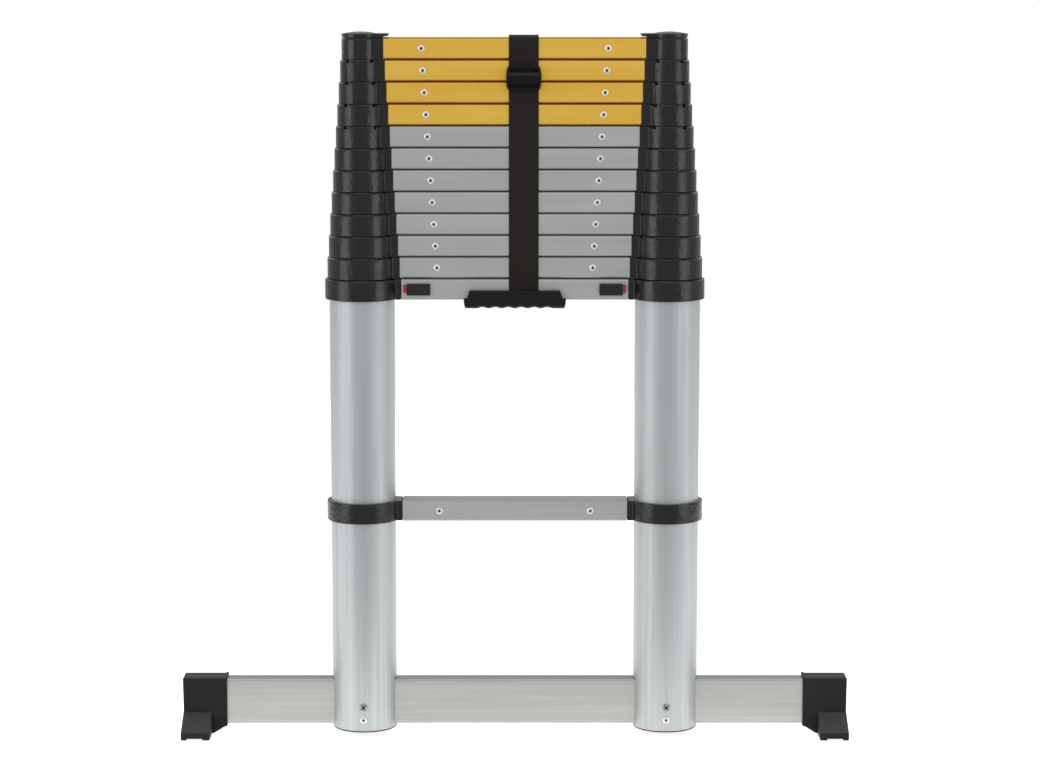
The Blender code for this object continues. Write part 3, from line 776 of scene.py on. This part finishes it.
def fixed_collar(side, node, z, lip, cutters=()):
    """A collar clamped round a fixed tube."""
    low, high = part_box(node)
    reach = rung_end("mid_rung") - GAP
    bore = BASE_RADIUS + BORE_PLAY
    shape = collar_shape(side, FIXED_COLLAR_RADIUS, reach, low.z, high.z, bore, lip, False)
    collar = piece(f"{node}_moulding", [shape], "black_plastic", "base", [node])
    carve(collar, cutters, added=[tongue_shape(side, reach, z)], crease=COLLAR_CREASE)


def pin_hole(side):
    """The cutter for the lock pin's way through a fixed tube and its collar."""
    ring = circle(0.0046, SMALL)
    rings = [[(w, u, BASE_RUNG_Z + v) for u, v in ring] for w in (0.0355, 0.0575)]
    return moved(skin(rings), on_stile(side))


def stem_slot(side, play):
    """The cutter for the way of a release button's stem."""
    low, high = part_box(f"release_button_{side}")
    inner = STILE_X - abs(low.x + high.x) / 2
    lows = (inner - 0.005 - play, -RUNG_DEPTH, BASE_RUNG_Z - 0.004)
    highs = (inner + 0.011 + play, -0.012, BASE_RUNG_Z + 0.004)
    return moved(cuboid(lows, highs), on_stile(side))


# Rungs


def rung_outline():
    """A rung's section, in (y, z): round corners, and fine grooves along its tread."""
    half_depth, half_height, corner = RUNG_DEPTH / 2, RUNG_HEIGHT / 2, RUNG_CORNER
    points = arc((half_depth - corner, half_height - corner), corner, 0, 90, 6)
    pitch = 2 * TREAD_HALF_DEPTH / TREAD_GROOVES
    for i in range(TREAD_GROOVES):
        start = TREAD_HALF_DEPTH - pitch * i
        for share, depth in ((0.2, 0), (0.35, 1), (0.65, 1), (0.8, 0)):
            points.append((start - pitch * share, half_height - TREAD_GROOVE_DEPTH * depth))
    for quarter, (u, v) in enumerate(((-1, 1), (-1, -1), (1, -1)), 1):
        centre = (u * (half_depth - corner), v * (half_height - corner))
        points += arc(centre, corner, 90 * quarter, 90 * quarter + 90, 6)
    return points


def hollow_bar(outline, wall_scale, length, y, z):
    """A hollow section along X, its cut edges softly broken."""
    end, bevel = length / 2, 0.0004
    rings = []
    for off, x in ((bevel, -end), (0, bevel - end), (0, end - bevel), (bevel, end)):
        rings.append([(x, y + u, z + v) for u, v in inset(outline, off)])
    for x in (end, -end):
        rings.append([(x, y + u * wall_scale[0], z + v * wall_scale[1]) for u, v in outline])
    return skin(rings, hollow=True)


def rung(node, finish, body):
    low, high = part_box(node)
    scale = (1 - 2 * RUNG_WALL / RUNG_DEPTH, 1 - 2 * RUNG_WALL / RUNG_HEIGHT)
    shape = hollow_bar(rung_outline(), scale, high.x - low.x, 0, middle(node, 2))
    return piece(f"{node}_extrusion", [shape], finish, body, [node], crease=RUNG_CREASE)


def rivet_shape(place):
    """A blind rivet: a domed flange, with the stub of its mandrel sunk in the middle."""
    radius, hole, rise = RIVET_RADIUS, 0.0018, 0.0017
    profile = [(radius * 0.6, -0.0025), (radius * 0.6, 0), (radius, 0), (radius, 0.0003)]
    for i in range(1, 9):
        share = 1 - i / 9
        height = 0.0003 + (rise - 0.0003) * (1 - share**2.2)
        profile.append((hole + (radius - hole) * share, height))
    profile += [(hole, rise - 0.0001), (hole * 0.85, 0.0004), (hole * 0.3, 0.0004)]
    return moved(lathe(profile), place)


def mandrel_shape(place):
    return moved(lathe([(0.0021, 0.0), (0.0021, 0.00045), (0.0006, 0.0006)], 16), place)


def facing(way, x, z, surface):
    """Places a shape on the front (way -1) or the back (way 1), standing proud of the surface."""
    return lambda u, v, w: (x - way * u, way * (surface + w), z + v)


def rivets(name, body, spots):
    """Rivets at (x, z, surface) spots, at the front and the back."""
    places = [facing(way, *spot) for spot in spots for way in (-1, 1)]
    for part, shape, finish in (
        ("rivets", rivet_shape, "bright_steel"),
        ("mandrels", mandrel_shape, "dark_steel"),
    ):
        piece(f"{name}_{part}", [shape(place) for place in places], finish, body)


def rung_rivets(node, body):
    x = STILE_X - rung_end(node) - RIVET_INSET
    rivets(node, body, [(side * x, middle(node, 2), RUNG_DEPTH / 2) for side in SIDES.values()])


# Stabiliser bar and feet


def stabiliser_bar():
    low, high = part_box("stabiliser_bar")
    depth, height = high.y - low.y, high.z - low.z
    outline = rectangle(depth, height, BAR_CORNER, steps=6)
    scale = (1 - 2 * RUNG_WALL / depth, 1 - 2 * RUNG_WALL / height)
    shape = hollow_bar(outline, scale, high.x - low.x, 0, (low.z + high.z) / 2)
    name = "stabiliser_bar_extrusion"
    piece(name, [shape], "silver_bar", "base", ["stabiliser_bar"])


BOOT_FLANK = 0.003  # rubber in front of and behind the bar
BOOT_SOLE_INSET = 0.038  # from a boot's outer end to the inner side of its toes
TOE_ROOT = 0.030
TOE_TIP = 0.010


def foot_boot(side):
    """A rubber boot over the end of the bar, with toes to the front and back, grooved below."""
    out = SIDES[side]
    low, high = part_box(f"foot_boot_{side}")
    outer, inner = max(abs(low.x), abs(high.x)), min(abs(low.x), abs(high.x))
    bar_low, bar_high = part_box("stabiliser_bar")
    half, sole, reach = bar_high.y + BOOT_FLANK, outer - BOOT_SOLE_INSET, high.y
    mirror = lambda x, y, z: (out * x, y, z)
    across = lambda u, v, w: (out * u, w, v)
    corners = [(inner, 0.0115), (sole - 0.002, 0.0004), (outer - 0.001, 0.0004)]
    corners += [(outer, high.z), (inner, high.z)]
    sleeve = block(rounded(corners, 0.0026), -half, half, 0.002)
    rim, crown = inner + 0.0035, high.z + 0.0006
    lip = [(inner, 0.0108), (rim, 0.0094), (rim, crown), (inner, crown)]
    mouth = block(rounded(lip, 0.0009), -half - 0.0006, half + 0.0006, 0.0006)
    side_view = [(-reach, 0), (reach, 0), (reach, TOE_TIP), (half - 0.002, TOE_ROOT)]
    side_view += [(0.002 - half, TOE_ROOT), (-reach, TOE_TIP)]
    toes = block(rounded(side_view, 0.0014), sole, outer - 0.0003, 0.0011)
    sleeves = [moved(sleeve, across)]
    boot = piece(f"boot_{side}", sleeves, "black_rubber", "base", [f"foot_boot_{side}"])
    pocket_low = (inner - 0.01, bar_low.y - GAP, bar_low.z - GAP)
    pocket_high = (bar_high.x + GAP, bar_high.y + GAP, bar_high.z + GAP)
    cutters = [moved(cuboid(pocket_low, pocket_high), mirror)]
    groove_low, groove_high = (sole + 0.0095, -0.08, -0.01), (outer - 0.0076, 0.08, 0.0024)
    cutters.append(moved(cuboid(groove_low, groove_high), mirror))
    added = [moved(mouth, across), moved(toes, lambda u, v, w: (out * w, u, v))]
    carve(boot, cutters, added, crease=25)


def tube_end_plug(side):
    low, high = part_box(f"tube_end_plug_{side}")
    spigot = BASE_RADIUS - TUBE_WALL - GAP
    seat = tube_low.z - GAP
    profile = [(0.006, high.z), (spigot, high.z), (spigot, seat), (BASE_RADIUS - 0.0003, seat)]
    profile += [(BASE_RADIUS, seat - 0.0004), (BASE_RADIUS - 0.0006, low.z)]
    profile += [(0.0066, low.z), (0.006, low.z + 0.0006)]
    shape = moved(lathe(profile, FINE, hollow=True), on_stile(side))
    piece(f"tube_end_ring_{side}", [shape], "black_plastic", "base", [f"tube_end_plug_{side}"])


def screw(side):
    """A cross-head screw through a fixed tube and the bar, with a nut at the back."""
    low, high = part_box(f"bar_bolt_{side}")
    x, z = SIDES[side] * STILE_X, (low.z + high.z) / 2
    radius, seat = (high.z - low.z) / 2, BASE_RADIUS
    head = [(0.0029, 0.002 - 2 * seat), (0.0029, -0.0004), (radius, -0.0004), (radius, 0.0003)]
    head += [(radius * 0.86, 0.0014), (radius * 0.55, 0.0021), (0.0006, 0.0025)]
    nut = block(rounded(circle(0.0058, 6), 0.0006), -0.0004, 0.0024, 0.0004)
    front = facing(-1, x, z, seat)
    shapes = [moved(lathe(head), front), moved(nut, facing(1, x, z, seat))]
    made = piece(f"bar_screw_{side}", shapes, "dull_steel", "base", [f"bar_bolt_{side}"])
    turn = math.radians(38)
    arm, half = 0.0036, 0.0008
    cutters, recess_shade_floors = [], []
    for angle in (turn, turn + math.pi / 2):
        spin = Matrix.Rotation(angle, 2)
        corners = ((-arm, -half), (arm, -half), (arm, half), (-arm, half))
        outline = [spin @ Vector(corner) for corner in corners]
        for shapes, levels in ((cutters, (0.0007, 0.004)), (recess_shade_floors, (0.0005, 0.0009))):
            shapes.append(moved(skin([[(p.x, p.y, w) for p in outline] for w in levels]), front))
    carve(made, cutters)
    # Painted shade: dark plates at the floor of the cross recess stand for the shade inside it.
    piece(f"bar_screw_recess_shade_{side}", recess_shade_floors, "dark_steel", "base")


# Lock


def release_button(side):
    """A slide with finger ridges, its stem, and a red mark at its outer end."""
    low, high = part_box(f"release_button_{side}")
    centre = STILE_X - abs(low.x + high.x) / 2
    length, height = high.x - low.x, high.z - low.z
    face, proud = RUNG_DEPTH / 2 + GAP, -low.y - RUNG_DEPTH / 2 - GAP
    mark = 0.004
    place = lambda u, v, w: (SIDES[side] * (STILE_X - centre - u), -face - w, BASE_RUNG_Z + v)
    body = block(rectangle(length - mark, height, 0.0016, (mark / 2, 0)), 0, proud, 0.0008)
    stem = block(rectangle(0.010, 0.007, 0.0005), -0.0105, 0.0005, 0.0002)
    button = piece(
        f"release_slide_{side}",
        [moved(body, place)],
        "black_plastic",
        f"lock_{side}",
        [f"release_button_{side}"],
    )
    cutters = []
    for i in range(5):
        u = -0.002 + 0.0030 * i
        lows = (u, -height * 0.33, proud - 0.0006)
        highs = (u + 0.0013, height * 0.33, proud + 0.002)
        cutters.append(moved(cuboid(lows, highs), place))
    carve(button, cutters, added=[moved(stem, place)])
    tab_middle = (-length / 2 + mark / 2 + 0.0005, height * 0.07)
    tab = rectangle(mark + 0.001, height * 0.66, 0.0008, tab_middle)
    piece(
        f"release_mark_{side}",
        [moved(block(tab, 0.0003, proud - 0.0005, 0.0005), place)],
        "red_plastic",
        f"lock_{side}",
    )


def lock_pin(side):
    """A pin with a chamfered tip, on its slider block."""
    low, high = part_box(f"lock_pin_{side}")
    tip, end = sorted(STILE_X - abs(x) for x in (low.x, high.x))
    near = end - 0.024
    rod = [(0.0032, tip), (0.004, tip + 0.0008), (0.004, near + 0.002)]
    rings = [[(w, u, BASE_RUNG_Z + v) for u, v in circle(radius, SMALL)] for radius, w in rod]
    slider = rectangle(high.y - low.y, high.z - low.z, 0.001)
    stack = edge_stack(near, end, 0.0006)
    solid = [[(w, u, BASE_RUNG_Z + v) for u, v in inset(slider, off)] for off, w in stack]
    shapes = [moved(skin(rings), on_stile(side)), moved(skin(solid), on_stile(side))]
    piece(f"lock_plunger_{side}", shapes, "steel", f"lock_{side}", [f"lock_pin_{side}"])


def lock_spring(side):
    """A coil between the slider and the end of the tongue. The slider squeezes it in the real
    lock, but this coil stays as made.
    """
    low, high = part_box(f"lock_spring_{side}")
    near, far = sorted(STILE_X - abs(x) for x in (low.x, high.x))
    wire, turns, steps = 0.0006, 5, 24
    radius = (high.z - low.z) / 2 - wire
    rings = []
    count = turns * steps
    for i in range(count + 1):
        turn = 2 * math.pi * i / steps
        w = near + wire + (far - near - 2 * wire) * i / count
        out = Vector((0, math.cos(turn), math.sin(turn)))
        centre = Vector((w, 0, BASE_RUNG_Z)) + out * radius
        ring = [centre + out * wire * math.cos(t) + Vector((wire * math.sin(t), 0, 0))
                for t in (2 * math.pi * j / 10 for j in range(10))]
        rings.append([tuple(point) for point in ring])
    spring = piece(
        f"lock_coil_{side}",
        [moved(skin(rings), on_stile(side))],
        "steel",
        "base",
        [f"lock_spring_{side}"],
        crease=60,
    )
    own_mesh(spring)


# Caps, handle, strap and buckle


def top_cap(side):
    """A disc on the top collar, a plate over the neck and the rung's end, and a low dome."""
    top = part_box(f"stile_{side}_{SECTIONS}")[1].z
    low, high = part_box(f"top_cap_{side}")
    rim = tube_radius(SECTIONS) + COLLAR_WALL
    reach = STILE_X - min(abs(low.x), abs(high.x))
    seat = top + GAP
    under, over = seat + CAP_STEP, seat + CAP_STEP + CAP_LID
    outline = collar_outline(rim, reach, False)
    plate = block(outline, under, over, 0.0007)
    foot = rim - 0.0006
    neck = rung_end(rung_node(SECTIONS)) - GAP
    body = block(collar_outline(foot, neck, False), seat, under + 0.001, 0.0005)
    root, steps = over - 0.0004, 14
    dome = [(foot, under + 0.001)]
    for i in range(steps + 1):
        share = 1 - i / steps
        dome.append((foot * share + 0.0002, root + (high.z - root) * (1 - share**2)))
    plug_radius = tube_radius(SECTIONS) - TUBE_WALL - GAP
    plug = [(plug_radius - 0.001, low.z), (plug_radius, low.z + 0.001)]
    plug += [(plug_radius, seat + 0.0005)]
    shapes = [plate, body, lathe(dome, FINE), lathe(plug, FINE)]
    shapes = [moved(shape, on_stile(side)) for shape in shapes]
    piece(f"end_cap_{side}", shapes, "black_plastic", body_name(SECTIONS), [f"top_cap_{side}"])


def carry_handle():
    """A grip under the base rung with finger grooves, and a flange in front of the rung."""
    low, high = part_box("carry_handle")
    half_length = high.x
    grip_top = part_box("base_rung")[0].z - GAP
    flange_back = -RUNG_DEPTH / 2 - 2 * GAP
    flange_top_half, flange_foot_half = 0.0580, 0.0625
    end_slope, ear = 0.0015, 0.0025
    xs = {-half_length, half_length, -half_length + 0.0008, half_length - 0.0008}
    for edge in (flange_top_half, flange_foot_half):
        xs.update((edge, -edge))
    steps = 96
    xs.update(half_length * (2 * i / steps - 1) * 0.96 for i in range(steps + 1))
    for i in range(6):
        edge = half_length - ear * (1 - math.sin(math.pi / 2 * i / 6))
        xs.update((edge, -edge))
    grooved = GROOVES * GROOVE_PITCH / 2
    rings = []
    for x in sorted(xs):
        end = 0.0008 if abs(x) >= half_length - 1e-6 else 0
        share = (flange_foot_half - abs(x)) / (flange_foot_half - flange_top_half)
        top = grip_top + (high.z - grip_top) * min(1, max(0, share))
        turn = 2 * math.pi * (x + grooved) / GROOVE_PITCH
        wave = (1 - math.cos(turn)) / 2 if abs(x) < grooved else 0
        past = max(0, abs(x) - half_length + ear)
        bottom = low.z + GROOVE_DEPTH * wave + 0.8 * (ear - math.sqrt(ear**2 - past**2))
        front, back = low.y + end, high.y - end
        soft = 0.0055
        section = arc((back - soft, bottom + soft), soft, 0, -90, 6)
        section += arc((front + soft, bottom + soft), soft, -90, -180, 6)
        edge = min(0.0012, (top - grip_top) / 2 + 0.0004)
        section += arc((front + edge, top - edge), edge, 180, 90, 4)
        section += [(flange_back - 0.0004, top), (flange_back, top - 0.0004)]
        section += [(flange_back, grip_top + 0.0001)]
        section += arc((back - 0.001, grip_top - 0.001), 0.001, 90, 0, 3)
        ring = []
        for y, z in section:
            slope = end_slope * max(0, grip_top - z) / (grip_top - low.z) / half_length
            ring.append((x * (1 - slope), y, z))
        rings.append(ring)
    nodes = ["carry_handle"]
    piece("carry_grip", [skin(rings)], "grip_plastic", "base", nodes)


def ribbon(name, path, body, nodes):
    """A strap along a path of (y, z) points, with thicker woven edges."""
    low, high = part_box(nodes[0])
    x, width = (low.x + high.x) / 2, high.x - low.x
    half, thick = width / 2, STRAP_THICKNESS / 2
    edge = [(half - 0.0030, 0.82), (half - 0.0022, 1.0), (half - 0.0007, 1.0), (half, 0.45)]
    across = [(0, 0.82), *edge]
    upper = [(u, thick * share) for u, share in across]
    section = upper + [(u, -v) for u, v in reversed(upper)]
    section += [(-u, -v) for u, v in upper[1:]] + [(-u, v) for u, v in reversed(upper[1:])]
    rings = []
    for i, (y, z) in enumerate(path):
        before, after = path[max(i - 1, 0)], path[min(i + 1, len(path) - 1)]
        along = Vector((after[0] - before[0], after[1] - before[1])).normalized()
        rings.append([(x + u, y - along.y * v, z + along.x * v) for u, v in section])
    return piece(name, [skin(rings)], "webbing", body, nodes, crease=60)


def strap():
    """The strap over the stack, and the short stretch round the base rung into the handle."""
    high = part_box("strap_upper")[1]
    run = high.y - STRAP_THICKNESS / 2
    crest = high.z - STRAP_THICKNESS / 2
    shoulder = crest - STRAP_CREST
    corner_y, corner_z = run - STRAP_CORNER, shoulder - STRAP_CORNER
    join_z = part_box("strap_lower")[1].z + GAP
    path = [(-run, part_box("carry_handle")[1].z + GAP)]
    path += arc((-corner_y, corner_z), STRAP_CORNER, 180, 90, 10)
    shares = [i / 6 for i in range(-5, 6)]
    path += [(corner_y * share, crest - STRAP_CREST * share**2) for share in shares]
    path += arc((corner_y, corner_z), STRAP_CORNER, 90, 0, 10)
    path += [(run, join_z)]
    ribbon("strap_over_stack", path, body_name(SECTIONS), ["strap_upper"])
    end_low, end_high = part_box("strap_lower")
    handle_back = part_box("carry_handle")[1].y
    bend = run - handle_back - GAP
    path = [(run, end_high.z)]
    path += arc((handle_back + GAP, end_low.z + STRAP_THICKNESS / 2 + bend), bend, 0, -90, 12)
    ribbon("strap_to_handle", path, "base", ["strap_lower"])


def buckle():
    """A three-bar slide in front of the strap: bulging sides, two slots, a barrel between them."""
    low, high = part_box("strap_buckle")
    x, z = (low.x + high.x) / 2, (low.z + high.z) / 2
    half_width, half_height = (high.x - low.x) / 2, (high.z - low.z) / 2
    bulge = 0.0022
    steps = 12
    side_points = []
    for i in range(steps + 1):
        v = (2 * i / steps - 1) * (half_height - 0.004)
        side_points.append((half_width - bulge * (v / half_height) ** 2, v))
    corner = 0.0035
    top = arc((half_width - bulge - corner, half_height - corner), corner, 20, 90, 5)
    right = side_points + top
    left = [(-u, v) for u, v in reversed(right)]
    lower_left = [(-u, -v) for u, v in top]
    lower_right = [(u, -v) for u, v in reversed(top)]
    outline = right + left + lower_left + lower_right
    place = facing(-1, x, z, -high.y)
    thickness = high.y - low.y
    frame_piece = piece(
        "strap_slide",
        [moved(block(outline, 0, thickness, 0.0012), place)],
        "glossy_plastic",
        body_name(SECTIONS),
        ["strap_buckle"],
    )
    slot_half, barrel, slot = 0.0191, 0.0075, 0.0048
    cutters = []
    for way in (-1, 1):
        slot_outline = rectangle(2 * slot_half, slot, 0.001, (0, way * (barrel + slot / 2)))
        through = skin([[(u, v, w) for u, v in slot_outline] for w in (-0.005, 0.01)])
        cutters.append(moved(through, place))
    turns = [math.pi * i / steps for i in range(steps + 1)]
    section = [(barrel * math.cos(t), thickness * 0.6 + 0.0036 * math.sin(t)) for t in turns]
    rings = [[(u, v, w) for v, w in section] for u in (-slot_half - 0.001, slot_half + 0.001)]
    carve(frame_piece, cutters, added=[moved(skin(rings), place)])


make_camera()
make_studio()
make_floor()
LOOKS = make_looks()

for side in SIDES:
    fixed_tube(side)
    ways = [stem_slot(side, STEM_PLAY), pin_hole(side)]
    fixed_collar(side, f"base_collar_{side}", BASE_RUNG_Z, BASE_RADIUS - TUBE_WALL, ways)
    fixed_collar(side, f"mid_collar_{side}", MID_RUNG_Z, BASE_RADIUS + BORE_PLAY)
    foot_boot(side)
    tube_end_plug(side)
    screw(side)
    release_button(side)
    lock_pin(side)
    lock_spring(side)
    top_cap(side)
    for section in range(1, SECTIONS + 1):
        sliding_tube(side, section)
        sliding_collar(side, section)

for section in range(1, SECTIONS + 1):
    finish = "gold_rung" if section > SECTIONS - GOLD_SECTIONS else "silver_rung"
    rung(rung_node(section), finish, body_name(section))
    rung_rivets(rung_node(section), body_name(section))
lowest = rung("base_rung", "silver_rung", "base")
carve(lowest, [stem_slot(side, STEM_PLAY) for side in SIDES], crease=RUNG_CREASE)
rung("mid_rung", "silver_rung", "base")
rung_rivets("mid_rung", "base")
foot_spots = [(side * STILE_X, FOOT_RIVET_Z, BASE_RADIUS) for side in SIDES.values()]
rivets("tube_foot", "base", foot_spots)
stabiliser_bar()
carry_handle()
strap()
buckle()
